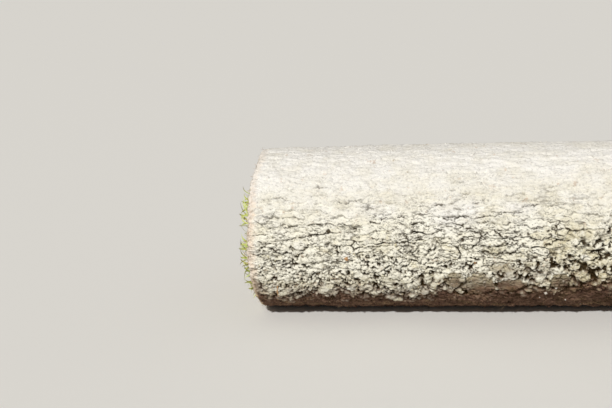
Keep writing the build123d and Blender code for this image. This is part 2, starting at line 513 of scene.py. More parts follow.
def crust(x, length):
    """The weathered face of the soil: its height above the solid's face, and its colour numbers."""
    wave = waves(x, length)
    _, _, _, angle = on_winding(length)
    bearing = angle % TURN
    rear = ramp(np.cos(np.radians(bearing)), -0.1, 0.6)
    downhill = np.where((bearing > 90) & (bearing < 270), 1.0, -1.0)
    from_top = np.abs((bearing - 90 + 180) % TURN - 180)
    zone = from_top + 7 * wave(70, 3) + 5 * wave(22, 4)
    lower = zone + 11 * ramp(x, -0.10, 0.12) + 5 * wave(8, 15)
    # Smooth plates: a groove with a painted shadow line along each lower edge, and a raised lip with a
    # painted highlight along each upper edge
    plates, plate_edge_shadow, plate_lip_highlight = in_patches(x, length, SMOOTH_PLATES, 0.75, 1.1)
    clod_height, clod_pale, clod_shadow = clods_of_photo(x, length)

    # Where it is scaly, flaky, damp and shaded, crumbly and cracked
    scaly = ramp(zone, -10, 52)
    flaky = ramp(zone, 20, 88)
    # Along both ends a pale peach rim: painted highlight where the edge catches the light, in the crumbled
    # edge's own tone
    at_rim = ramp(np.abs(x), SIDE - 20 * MM, SIDE - 9 * MM)
    rim = ramp(np.abs(x) + 4.0 * MM * wave(9, 18), SIDE - 16 * MM, SIDE - 5 * MM)
    rim = rim * (0.45 + 0.55 * ramp(zone, 25, 65))
    # Browner low down, and higher up on the right: partly damp soil, partly painted shade of the underside
    damp_and_shade = ramp(lower, 102, 133)
    crumbling = zone - 15 * np.exp(-((x - PLATED_AT) / PLATED_SPAN) ** 2) + 17 * ramp(x, 0.11, 0.19)
    crumbling += 6 * ramp(x, -0.12, 0.02) - 6 + 20 * wave(36, 8) + 12 * wave(13, 10)
    crumbly = ramp(crumbling, 70, 94) * (1 - 0.95 * plates) * (1 - clod_pale)
    crumbly = crumbly * (1 - 0.55 * ramp(lower, 126, 144)) * (1 - 0.7 * at_rim) * (1 - 0.45 * rear)
    cracked = (0.15 + 0.85 * flaky) * (1 - 0.4 * damp_and_shade) * (1 - 0.7 * crumbly) * (1 - 0.5 * at_rim)

    # Plates of two sizes, tears, and the long cracks of the photograph
    warp_x = (5 * wave(17, 11) + 1.8 * wave(5, 12)) * MM
    warp_s = (3.5 * wave(15, 13) + 1.3 * wave(4.5, 14)) * MM
    wide, first, v = network(x + warp_x, length + warp_s, 27, 10.5, 0.95, 0.16, 21)
    height = ((first - 0.5) * 2.0 + downhill * v * 2.6) * (0.15 + 0.85 * scaly) * (1 - 0.6 * damp_and_shade)
    fine, second, v = network(x + warp_x, length + warp_s, 11, 4.6, 0.62, 0.10, 41)
    height += ((second - 0.5) * 1.1 + downhill * v * 1.5) * (0.2 + 0.8 * scaly) * (1 - 0.5 * damp_and_shade)
    wide = wide * cracked
    fine = fine * cracked
    tears = 0
    for size_x, size_s, width, seed, step in TEARS:
        line, lip = tear(x + warp_x * 0.6, length + warp_s * 0.6, size_x, size_s, width, seed)
        here = ramp(wave(size_x * 0.8, seed + 60), -0.25, 0.25)
        tears = np.maximum(tears, line * here * cracked)
        height += downhill * lip * step * here * (0.2 + 0.8 * scaly)
    ragged = 1.4 * MM * wave(3.2, 17)
    line = beside_lines(x + warp_x * 0.7 + ragged, length + warp_s * 0.7 + ragged)
    width = (0.55 + 0.55 * wave(8, 33)) * MM
    long_crack = (1 - ramp(line, 0.4 * width, 0.4 * width + 0.9 * MM)) * ramp(width, -0.1 * MM, 0.4 * MM)

    # Crumbs of three sizes, with pits between them
    shift = 0.9 * MM * wave(2.6, 16)
    bed, own = heap(
        -3.0,
        rubble(x * 0.82 + shift, length + shift, 2.8, 0.90, 51, 4.2, 0.5),
        rubble(x * 0.82 + shift, length - shift, 4.5, 0.55, 54, 6.0, 0.4),
        rubble(x * 0.82 - shift, length + shift, 8.6, 0.30, 57, 8.6, 0.6),
    )
    bed -= 3.4 * ramp(wave(11, 61) + 0.6 * wave(4.5, 62) + 0.34 * ramp(x, -0.02, 0.13), 0.20, 0.66)

    # The height of all this together
    height = height * (1 - 0.6 * crumbly) * (1 - 0.6 * plates) + bed * crumbly
    height += 1.9 * wave(110, 71) + 1.1 * wave(40, 72)
    height += 0.55 * (wave(13, 73) + 0.5 * wave(6.5, 74)) * (0.4 + 0.6 * scaly)
    wrinkle = wave(7, 78, 2.6) * 0.42 + wave(3.6, 79, 2.2) * 0.26
    grain = 0.25 * wave(3.4, 75) + 0.22 * wave(2.2, 76)
    height += (wrinkle + grain) * (0.5 + 0.8 * scaly)
    height += damp_and_shade * (1.1 * wave(14, 83, 1.8) + 0.6 * wave(6, 84, 1.6))
    height -= 2.4 * wide + 1.3 * fine + 2.0 * tears + 3.2 * long_crack
    height += 0.6 * plates + 0.9 * plate_lip_highlight - 1.8 * plate_edge_shadow
    height = np.minimum(np.clip(height - 1.2, -9.0, 2.0) + clod_height, 4.2)

    # The colour numbers, painted shade and painted highlights among them
    # Painted shade in the pits between crumbs, along the plates' lower edges and below the large clods,
    # joined to the dark of the cracks; less of it on the rear
    deep = np.max([ramp(-bed, 0.1, 1.6) * crumbly, 0.95 * plate_edge_shadow, 0.9 * clod_shadow], axis=0)
    crack_and_shade = np.max([wide, 0.75 * fine, 0.9 * tears, long_crack, 0.92 * deep], axis=0)
    crack_and_shade = np.clip(crack_and_shade * (0.35 + 0.65 * flaky) * (1 - 0.3 * rear), 0, 1)
    # The tint: random tone of plates and crumbs, paler clods, darker smooth plates; painted light in a band
    # below the top, darker towards the lower right, partly painted shade, and a painted highlight on the
    # plates' lips
    tint_and_shading = 0.5 + 0.75 * (first - 0.5) + 0.5 * (second - 0.5) + 0.3 * wave(55, 81)
    tint_and_shading = tint_and_shading * (1 - 0.5 * crumbly) + crumbly * (0.5 * own + 0.2) - 0.5 * plates
    tint_and_shading += 0.5 * clod_pale - 0.8 * ramp(x, 0.04, 0.16) * ramp(zone, 56, 92)
    tint_and_shading = np.clip(tint_and_shading + 0.5 * ramp(zone, 44, 62) * (1 - ramp(zone, 96, 112)) + plate_lip_highlight, 0, 1)
    # Paler towards the top and on the clods; painted highlight in the pale patches and along the rim
    patches, _, _ = in_patches(x, length, HIGHLIGHT_PATCHES, 0.3, 1.2)
    pale = np.clip((1 - ramp(zone, 22, 92)) * 0.95 + 0.4 * clod_pale + 0.45 * patches + 0.35 * at_rim, 0, 1)
    # The brown band low down is partly damp soil and partly painted shade; the low smooth plates get painted
    # shade too
    damp_and_shade = ramp(lower - 3.5 * bed * crumbly, 101, 132) * (1 - clod_pale)
    damp_and_shade = np.maximum(damp_and_shade, 0.42 * plates * ramp(zone, 92, 106)) * (1 - plate_lip_highlight)
    rough = np.clip(0.25 + 0.18 * flaky + 0.75 * crumbly, 0, 1) * (1 - 0.6 * damp_and_shade)
    return height * MM, {"crack_and_shade": crack_and_shade, "tint_and_shading": tint_and_shading, "damp_and_shade": damp_and_shade, "pale": pale, "rough": rough, "rim": rim}


def bevel(length):
    """How deep the corner of the soil has crumbled off near the outer end."""
    return np.maximum(TAIL_BEVEL - length, 0)


def crust_depth(x, length):
    """Depth of the crust below the soil side, flatter where a turn lies over it, and its colour numbers."""
    height, values = crust(x, length)
    pressed = 0.72 * ramp(length, ONE_TURN, ONE_TURN + UNDER_TAIL)
    return bevel(length) - height * (1 - pressed), values


def on_crust(x, length, sunk=0.0):
    """Points sunk by so much below the surface of the crust, and its colour numbers there."""
    depth, values = crust_depth(x, length)
    return on_roll(x, length, depth + sunk), values


def cut_relief(x, length):
    """The face that a blade has cut through the soil: its relief, its painted shade in pits and low places,
    and its tint.
    """
    wave = waves(x, length)
    small = rubble(x, length, 2.9, 0.9, 91, 3.0, 0.4)
    bed, own = heap(-1.8, small, rubble(x, length, 6.0, 0.5, 94, 4.6, 0.4))
    pit = ramp(wave(8, 97) + 0.5 * wave(3, 98), 0.3, 0.85)
    back = 2.0 - bed + 2.4 * pit - 0.6 * (wave(12, 99) + 0.5 * wave(6, 100))
    # Painted shade in the pits and where the face lies low
    dark = np.clip(0.5 * pit + 0.35 * ramp(-bed, 0.4, 1.8), 0, 1)
    return -np.clip(back, 0, 6) * MM, dark, np.clip(0.2 + 0.7 * own + 0.2 * wave(20, 102), 0, 1)


# Meshes

def uneven_ends(points):
    """The points, moved along the roll near its ends, which aren't quite flat. As in the photograph, the left
    end is worn back at the top and pressed out at its foot."""
    x, y, z = points.T
    corner = np.where(z > HEIGHT / 2, -END_WORN_BACK, END_FOOT)
    arch = corner + (END_BULGE - corner) * (1 - (2 * z / HEIGHT - 1) ** 4)
    move = np.where(x < 0, arch * ramp(-y, -0.02, 0.08), 0) + END_UNEVENNESS * noise(y, z, 70 * MM, 161)
    near = ramp(np.abs(x), SIDE - END_REACH, SIDE)
    return np.stack([x + np.sign(x) * move * near, y, z], axis=-1)


def make_mesh(name, points, faces, material, values=None):
    """A piece made of points and faces, with one number for each point under each name."""
    points = uneven_ends(points.reshape(-1, 3)).astype(np.float32)
    points[:, 2] = np.maximum(points[:, 2], 0)
    mesh = bpy.data.meshes.new(name)
    mesh.from_pydata(points, [], faces)
    for key, value in (values or {}).items():
        attribute = mesh.attributes.new(key, "FLOAT", "POINT")
        attribute.data.foreach_set("value", np.ascontiguousarray(value, dtype=np.float32).ravel())
    mesh.validate()
    mesh.shade_smooth()
    mesh.materials.append(material)
    piece = add_object(name, mesh)
    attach(piece, "root")


def sheet_faces(rows, columns, flip=False):
    """The four-cornered faces of a grid of points."""
    k = np.arange(rows * columns).reshape(rows, columns)
    corners = [k[:-1, :-1], k[:-1, 1:], k[1:, 1:], k[1:, :-1]]
    if flip:
        corners.reverse()
    return np.stack(corners, axis=-1).reshape(-1, 4)


def make_sheet(name, points, material, values=None, flip=False):
    make_mesh(name, points, sheet_faces(*points.shape[:2], flip), material, values)


def copies(faces, count, points):
    """The faces of many pieces alike in one mesh, each with that many points."""
    return (faces + (np.arange(count) * points)[:, None, None]).reshape(-1, faces.shape[1])


# Materials

COLOUR_A = 6  # the places of the colours among a mix node's inputs and outputs
COLOUR_B = 7
COLOUR_OUT = 2


def srgb(red, green, blue):
    """A colour of the screen, 0 to 255, as the shader's linear numbers."""
    parts = [c / 255 for c in (red, green, blue)]
    return tuple(c / 12.92 if c <= 0.04045 else ((c + 0.055) / 1.055) ** 2.4 for c in parts) + (1.0,)


def feed(node, inputs):
    """Puts numbers, colours and other nodes' outputs into the inputs of a node."""
    for key, value in inputs.items():
        if isinstance(value, bpy.types.NodeSocket):
            node.id_data.links.new(value, node.inputs[key])
        else:
            node.inputs[key].default_value = value


def add_node(tree, kind, inputs, output):
    """An output of a new node with these inputs."""
    node = tree.nodes.new(f"ShaderNode{kind}")
    feed(node, inputs)
    return node.outputs[output]


class Paint:
    """A material's node tree, with short ways to add the nodes that these materials share."""

    def __init__(self, name, roughness, specular=0.5):
        self.material = bpy.data.materials.new(name)
        self.material.use_nodes = True
        self.tree = self.material.node_tree
        self.shader = self.tree.nodes["Principled BSDF"]
        feed(self.shader, {"Roughness": roughness, "Specular IOR Level": specular})
        self.place = self.add("TexCoord", {}, "Object")

    def add(self, *node):
        return add_node(self.tree, *node)

    def number(self, key):
        """One of the numbers that the mesh carries at each point."""
        node = self.tree.nodes.new("ShaderNodeAttribute")
        node.attribute_name = key
        return node.outputs["Fac"]

    def noise(self, size, detail, stretch=None, roughness=0.55):
        """Noise with features of the given size, in millimetres."""
        place = self.place
        if stretch:
            place = self.add("Mapping", {"Scale": stretch, "Vector": place}, "Vector")
        inputs = {"Scale": 1 / (size * MM), "Detail": detail, "Roughness": roughness, "Vector": place}
        return self.add("TexNoise", inputs, "Fac")

    def between(self, value, low, high):
        """The value's range from low to high, spread over 0 to 1."""
        return self.add("MapRange", {"From Min": low, "From Max": high, "Value": value}, "Result")

    def math(self, kind, *values):
        node = self.tree.nodes.new("ShaderNodeMath")
        node.operation = kind
        feed(node, dict(enumerate(values)))
        return node.outputs["Value"]

    def mix(self, amount, a, b, share=1.0):
        """Colour a turned into colour b by a share of the amount."""
        a, b = (srgb(*colour) if isinstance(colour, tuple) else colour for colour in (a, b))
        node = self.tree.nodes.new("ShaderNodeMix")
        node.data_type = "RGBA"
        if share != 1.0:
            amount = self.math("MULTIPLY", amount, share)
        feed(node, {"Factor": amount, COLOUR_A: a, COLOUR_B: b})
        return node.outputs[COLOUR_OUT]

    def bump(self, height, distance, strength):
        """Fine relief, as deep as the distance in millimetres."""
        inputs = {"Strength": strength, "Distance": distance * MM, "Height": height}
        feed(self.shader, {"Normal": self.add("Bump", inputs, "Normal")})

    def colour(self, value):
        feed(self.shader, {"Base Color": value})
        return self.material


# The palest tone, towards the top of the crust; also used for painted highlights on patches and the rim
PALE_WHITE = (245, 243, 239)
DRY = (214, 205, 173)
DRY_LIGHT = (248, 245, 231)
# The brown of the underside, partly damp soil and partly painted shade
SHADED = (84, 61, 50)
SHADED_LIGHT = (134, 106, 88)
# The dark of cracks, and of painted shade in pits and under edges
CREVICE = (54, 39, 11)
OCHRE = (190, 148, 112)
# Peach of the rim: painted highlight, with the tone of the crumbled edge
RIM_EARTH_AND_HIGHLIGHT = (238, 214, 190)
# Olive patches within that brown band
DAMP_AND_SHADE_OLIVE = (146, 124, 92)


def soil_paint(name, low, high, damp_and_shade_low, damp_and_shade_high):
    """Dry earth: mottled and flecked with ochre; dark in cracks and painted shade, browner where damp and
    shaded.
    """
    paint = Paint(name, 0.95, 0.15)
    rough = paint.number("rough")
    dry = paint.mix(paint.number("tint_and_shading"), low, high)
    dry = paint.mix(paint.number("pale"), dry, PALE_WHITE)
    dry = paint.mix(paint.between(paint.noise(28, 3.0), 0.42, 0.68), dry, low, 0.22)
    dry = paint.mix(paint.between(paint.noise(11, 2.0), 0.66, 0.74), dry, OCHRE, 0.35)
    mottle = paint.noise(3.4, 3.0, (0.75, 1.0, 1.0), 0.6)
    light = paint.math("MULTIPLY_ADD", rough, 0.70, 0.10)
    dry = paint.mix(paint.math("MULTIPLY", paint.between(mottle, 0.46, 0.38), light), dry, DRY_LIGHT)
    fibrous = paint.between(paint.noise(2.6, 4.0, roughness=0.7), 0.30, 0.62)
    # A painted highlight along the rim, peach like the crumbled edge
    rim = paint.math("MULTIPLY", paint.number("rim"), paint.math("MULTIPLY_ADD", fibrous, 0.55, 0.20))
    dry = paint.mix(rim, dry, RIM_EARTH_AND_HIGHLIGHT)
    streaks = paint.between(paint.noise(9, 5.0, (0.3, 1.0, 1.0), 0.65), 0.36, 0.66)
    # Browner where damp, which on the crust's underside is also painted shade
    damp_and_shade = paint.mix(streaks, damp_and_shade_low, damp_and_shade_high)
    damp_and_shade = paint.mix(paint.between(paint.noise(15, 4.0, (0.6, 1.0, 1.0)), 0.52, 0.66), damp_and_shade, DAMP_AND_SHADE_OLIVE, 0.45)
    earth = paint.mix(paint.number("damp_and_shade"), dry, damp_and_shade)
    # Dark specks, more where the soil is rough: painted shade of tiny pits among the grains
    speck_shade = paint.math("MULTIPLY_ADD", rough, 0.60, 0.05)
    earth = paint.mix(paint.math("MULTIPLY", paint.between(mottle, 0.55, 0.64), speck_shade), earth, CREVICE)
    # Dark in the cracks, and painted shade in pits, under edges, below clods and in hollows
    earth = paint.mix(paint.between(paint.number("crack_and_shade"), 0.08, 0.74), earth, CREVICE, 0.95)
    grains = paint.add("TexVoronoi", {"Scale": 1 / (2.6 * MM), "Vector": paint.place}, "Distance")
    paint.bump(paint.math("ADD", paint.noise(1.3, 3.0), paint.math("MULTIPLY", grains, -0.5)), 1.1, 0.9)
    return paint.colour(earth)


def thatch_paint():
    """Matted dead stems and roots: orange brown, with straw, and painted shade in its hollows."""
    paint = Paint("thatch", 0.9, 0.2)
    strands = paint.noise(2.2, 5.0, (0.5, 1.0, 1.0), 0.7)
    brown = paint.mix(paint.between(strands, 0.38, 0.62), (132, 90, 58), (222, 180, 132))
    brown = paint.mix(paint.number("tint_and_shading"), brown, (184, 134, 88), 0.45)
    brown = paint.mix(paint.between(paint.noise(3.1, 4.0), 0.54, 0.66), brown, (228, 200, 154), 0.75)
    # Painted shade where the thatch face lies further in
    brown = paint.mix(paint.number("crack_and_shade"), brown, (58, 36, 22))
    paint.bump(strands, 1.2, 1.0)
    return paint.colour(brown)


def turf_floor_paint():
    """The mat that the grass grows from, deep between the turns: dark, with flecks of green and straw."""
    paint = Paint("turf_floor", 0.9)
    flecks = paint.between(paint.noise(2.4, 4.0, roughness=0.7), 0.45, 0.68)
    dark = paint.mix(flecks, (40, 34, 18), (92, 104, 44))
    dark = paint.mix(paint.between(paint.noise(4.0, 4.0), 0.60, 0.70), dark, (168, 140, 84), 0.6)
    paint.bump(flecks, 1.5, 1.0)
    return paint.colour(dark)


def strand_paint(name, young, old, tip, roughness, specular):
    """Blades, stems and fibres: each its own shade, paler towards the tip, finely ribbed."""
    paint = Paint(name, roughness, specular)
    shade = paint.mix(paint.number("shade"), young, old)
    shade = paint.mix(paint.number("along"), shade, tip, 0.55)
    shade = paint.mix(paint.between(paint.noise(6, 3.0), 0.35, 0.7), shade, old, 0.30)
    paint.bump(paint.noise(0.9, 2.0), 0.15, 0.5)
    return paint.colour(shade)


def stone_paint():
    paint = Paint("stone", 0.75)
    stone = paint.mix(paint.number("shade"), (206, 196, 180), (240, 238, 232))
    stone = paint.mix(paint.noise(1.4, 4.0), stone, (168, 152, 132), 0.35)
    paint.bump(paint.noise(0.8, 3.0), 0.3, 0.6)
    return paint.colour(stone)


CRUST_PAINT = soil_paint("soil_crust", DRY, DRY_LIGHT, SHADED, SHADED_LIGHT)
CUT_PAINT = soil_paint("soil_cut", (202, 186, 160), (240, 230, 210), (160, 134, 104), (194, 170, 140))
THATCH_PAINT = thatch_paint()
FLOOR_PAINT = turf_floor_paint()
BLADE_PAINT = strand_paint("grass_blade", (78, 112, 34), (150, 158, 66), (178, 188, 92), 0.45, 0.4)
HEART_PAINT = strand_paint("hollow_grass", (96, 124, 44), (176, 178, 92), (206, 208, 128), 0.45, 0.4)
FRINGE_PAINT = strand_paint("fringe_grass", (180, 204, 96), (212, 214, 136), (226, 228, 160), 0.45, 0.4)
STRAW_PAINT = strand_paint("straw", (206, 182, 128), (176, 132, 78), (226, 208, 160), 0.6, 0.3)
FIBRE_PAINT = strand_paint("thatch_fibre", (220, 180, 132), (138, 92, 58), (238, 214, 172), 0.8, 0.2)
ROOT_PAINT = strand_paint("root", (196, 168, 132), (140, 104, 74), (218, 198, 166), 0.8, 0.2)
CRUMB_PAINT = soil_paint("soil_crumb", DRY, DRY_LIGHT, SHADED, SHADED_LIGHT)
STONE_PAINT = stone_paint()


# The crust round the roll

def make_crust():
    """The crust in strips along the roll, finer on the front. Each overlaps the one before by a row."""
    start = 0.0
    for name, end, step, step_x in (
        ("crust_rear", length_at(TAIL + 94), 2.1 * MM, 1.9 * MM),
        ("crust_top", length_at(TAIL + 160), 1.5 * MM, 1.5 * MM),
        ("crust_front", length_at(TAIL + 236), 1.1 * MM, 1.2 * MM),
        ("crust_low", length_at(TAIL + 302), 1.15 * MM, 1.2 * MM),
        ("crust_sole", ONE_TURN + UNDER_TAIL, 2.2 * MM, 1.9 * MM),
    ):
        across = np.linspace(-SIDE + RIM, SIDE - RIM, int(round((STRIP_WIDTH - 2 * RIM) / step_x)) + 1)
        around = np.linspace(max(start - step, 0.0), end, int(round((end - start) / step)) + 2)
        length, x = grid(around, across)
        points, values = on_crust(x, length)
        make_sheet(name, points, CRUST_PAINT, values)
        start = end


# The ends

def soil_end(side, length):
    """The soil at one end, which turns from the crust to the cut face across its rim."""
    rim = np.linspace(0, 1, RIM_COLUMNS)
    face = np.linspace(RIM, SOIL, CUT_COLUMNS)[1:]
    inset = np.concatenate([RIM * (1 - np.sin(rim * math.pi / 2)), np.zeros(len(face))])
    depth = np.concatenate([RIM * (1 - np.cos(rim * math.pi / 2)), face])
    turned = np.concatenate([rim, np.ones(len(face))])
    length, inset = grid(length, inset)
    wave = waves(length, side)
    depth = depth + (1.7 * wave(13, 103) + 1.0 * wave(4, 104)) * MM * ramp(depth, RIM, SOIL)
    turned = np.broadcast_to(turned, length.shape)
    # The crust's colour numbers at the rim, painted shade and highlight among them
    crust_at, surface_numbers = crust_depth(np.full(length.shape, side * (SIDE - RIM)), length)
    relief, dark, own = cut_relief(length + side * 7, depth)
    fold = turned * math.pi / 2
    blend = ramp(turned, 0, 1)
    move = -(crust_at - bevel(length)) * (1 - blend) + relief * blend
    x = side * (SIDE - inset + np.sin(fold) * move)
    points = on_roll(x, length, np.maximum(depth, bevel(length)) - np.cos(fold) * move)
    damp_and_shade = np.clip(0.15 + 0.3 * noise(length, depth, 30 * MM, 101), 0, 1)
    # The cut face's numbers, with its painted shade in pits
    cut = {"crack_and_shade": dark, "tint_and_shading": own, "damp_and_shade": damp_and_shade, "rough": 0.4}
    values = {key: surface_numbers[key] * (1 - blend) + cut[key] * blend for key in cut}
    # Paler across the rounded rim, and the crust's rim colour fading out on the cut face: painted highlight
    values["pale"] = surface_numbers["pale"] * (1 - blend) + 0.5 * np.sin(math.pi * turned)
    values["rim"] = surface_numbers["rim"] * (1 - 0.75 * blend)
    return points, values


def thatch_end(side, length):
    """The thatch at one end: a lip under the soil, the face, and the grass side deep into the gap."""
    face = np.linspace(SOIL + 0.8 * MM, MAT - 0.8 * MM, 10)
    into = np.linspace(THATCH_SETBACK, GAP_DEPTH + END_INSET, 10)
    inset = np.concatenate([[1.5 * MM, 3 * MM], np.full(len(face), THATCH_SETBACK), into])
    depth = np.concatenate([[SOIL - 4.5 * MM, SOIL - 2 * MM], face, np.full(len(into), MAT)])
    facing = np.repeat([1, 0], [2 + len(face), len(into)])
    length, inset = grid(length, inset)
    depth = np.broadcast_to(depth, length.shape)
    rough = 1.6 * noise(length + side * 3, depth, 7 * MM, 111) + 1.1 * noise(length, depth, 3 * MM, 112)
    x = side * (SIDE - inset - facing * np.clip(1.4 + rough, 0, 4) * MM)
    wave = waves(length, side)
    frayed = 1.3 * wave(9, 115) + 0.7 * wave(3.5, 116)
    tousled = (1 - facing) * 0.8 * noise(length, inset, 5 * MM, 113)
    deep = depth + (tousled + ramp(depth, SOIL, MAT) * frayed) * MM
    tint_and_shading = np.clip(0.5 + 0.5 * noise(length, depth, 18 * MM, 114), 0, 1)
    # Darker where the face lies further in: painted shade
    return on_roll(x, length, deep), {"crack_and_shade": 0.65 * ramp(rough, 0.1, 1.2), "tint_and_shading": tint_and_shading}


def make_ends():
    """Both ends: soil, thatch, the grass pressed between the turns, and the soil that faces it in the gap."""
    length = np.linspace(0, SOIL_LENGTH, int(SOIL_LENGTH / END_STEP))
    pressed = np.linspace(0, HIDDEN_FROM, int(HIDDEN_FROM / (2 * MM)))
    pressed, depth = grid(pressed, np.linspace(MAT - 1.5 * MM, PITCH + 2.5 * MM, 6))
    inner = np.linspace(ONE_TURN + UNDER_TAIL / 2, SOIL_LENGTH, int((SOIL_LENGTH - ONE_TURN) / (3 * MM)))
    inner, inset = grid(inner, np.linspace(GAP_DEPTH + END_INSET, RIM, 9))
    wave = waves(pressed, depth)
    tousled = (3.0 * wave(6, 121) + 1.5 * wave(3, 122)) * MM
    for side, end in ENDS:
        flip = side > 0
        points, values = soil_end(side, length)
        make_sheet(f"soil_{end}", points, CUT_PAINT, values, flip)
        points, values = thatch_end(side, length[::2])
        make_sheet(f"thatch_{end}", points, THATCH_PAINT, values, flip)
        points = on_roll(side * (SIDE - PRESSED_INSET + tousled), pressed, depth)
        make_sheet(f"pressed_grass_{end}", points, FLOOR_PAINT, None, flip)
        points, values = on_crust(side * (SIDE - inset), inner)
        make_sheet(f"gap_soil_{end}", points, CUT_PAINT, values, flip)


def make_heart():
    """The grass side of the innermost turn, along the whole hollow."""
    around = np.linspace(HIDDEN_FROM - 8 * MM, SOIL_LENGTH, 60)
    across = np.linspace(-SIDE + GAP_DEPTH, SIDE - GAP_DEPTH, 130)
    length, x = grid(around, across)
    depth = MAT + (0.6 + 1.2 * noise(x, length, 9 * MM, 131)) * MM
    points = on_roll(x, length, np.minimum(depth, MAT + 3 * MM))
    make_sheet("heart_turf", points, FLOOR_PAINT, None, True)


def make_strip_end(name, at, onwards):
    """The cut across the strip at its outer or inner end: soil, and thatch under it. onwards is 1 where the
    strip goes on from the cut by winding inwards, and -1 where it ends there."""
    across = -SIDE + 2 * MM + np.linspace(0, 1, 330) * (STRIP_WIDTH - 4 * MM)
    crust_at, _ = crust_depth(across, np.full(across.shape, at))
    thatch_at = np.full(across.shape, SOIL - 0.5 * MM)
    for layer, paint, top, bottom, rows, setback in (
        ("soil", CUT_PAINT, crust_at, SOIL + 0.8 * MM, 14, 0.0),
        ("thatch", THATCH_PAINT, thatch_at, MAT, 9, 1.5 * MM),
    ):
        down = np.linspace(0, 1, rows)[:, None]
        depth = top + down * (bottom - top)
        x = np.broadcast_to(across, depth.shape)
        relief, dark, own = cut_relief(x, depth + 3 + at)
        edge = 1.0 if setback else ramp(down, 0, 0.25)
        back = (-relief * 0.8 + setback) * edge * ramp(SIDE - np.abs(x), 2 * MM, 6 * MM)
        points = on_roll(x, at, depth) + heading(at, 0, 0, back * onwards)
        # Painted shade in the pits of the cut face
        values = {"crack_and_shade": dark * 0.8, "tint_and_shading": own, "damp_and_shade": np.full(own.shape, 0.2)}
        make_sheet(f"{name}_{layer}", points, paint, values, onwards > 0)


# Grass, straw, fibres and roots

def unit(vectors):
    return vectors / np.maximum(np.linalg.norm(vectors, axis=-1, keepdims=True), 1e-9)


def spread(low, high, count):
    return random.uniform(low, high, count)


def strands(name, paint, slot, root, way, length, width, sag, curl, segments=5, folded=False, fade=1.0):
    """Many thin strands as one mesh: each leaves its root along its way, curls and sags, and narrows to its
    tip. A folded one is creased like a blade of grass. Length and width in millimetres, sag and curl are each
    drawn between two numbers."""
    count = len(root)
    length = spread(*length, count) * MM
    width = spread(*width, count)[:, None] * MM
    sag = spread(*sag, count)[:, None] if sag else 0
    curl = spread(*curl, count)[:, None]
    shade = spread(0, 1, count) ** fade
    step = (length / segments)[:, None]
    way = unit(way)
    turn = unit(random.normal(size=(count, 3))) * curl
    middle = [root]
    ways = [way]
    for _ in range(segments):
        middle.append(middle[-1] + way * step)
        way = unit(way + turn / segments + np.array([0, 0, -1.0]) * (sag / segments))
        turn = turn + unit(random.normal(size=(count, 3))) * curl * 0.35
        ways.append(way)
    side = unit(np.cross(ways[0], unit(random.normal(size=(count, 3)))))[:, None]
    middle = np.stack(middle, axis=1)
    ahead = np.stack(ways, axis=1)
    along = np.arange(segments + 1) / segments
    wide = width * ((0.75 + 0.6 * along) * (1 - along ** 3) if folded else 1 - 0.6 * along)
    across = unit(side - ahead * np.sum(side * ahead, axis=-1, keepdims=True))
    half = across * (np.maximum(wide, 0.06 * width) / 2)[..., None]
    crease = np.cross(ahead, across) * (wide * 0.22)[..., None]
    rails = [middle - half, middle - crease, middle + half] if folded else [middle - half, middle + half]
    points = np.stack(rails, axis=2)
    past = np.abs(points[..., 0]) - SIDE
    reach = np.where(points[..., 0] < 0, LEFT_REACH, RIGHT_REACH)
    bent = np.sign(points[..., 0]) * (SIDE + reach * np.tanh(past / reach))
    points[..., 0] = np.where(past > 0, bent, points[..., 0])
    points[..., 2] = np.maximum(points[..., 2], STRAND_LOWEST)
    faces = copies(sheet_faces(segments + 1, points.shape[2]), count, points[0].size // 3)
    values = {
        "along": np.broadcast_to(along[None, :, None], points.shape[:3]),
        "shade": np.broadcast_to(shade[:, None, None], points.shape[:3]),
    }
    make_mesh(name, points, faces, paint, values)


def placed(side, length, depth, inset):
    return on_roll(side * (SIDE - inset), length, depth)


def end_strands(name, paint, slot, side, length, depth, inset, along, inward, onward, *looks, **form):
    """Strands at one end, each with its root's place and the parts of its way."""
    root = placed(side, length, depth, inset)
    strands(name, paint, slot, root, heading(length, side * along, -inward, onward), *looks, **form)


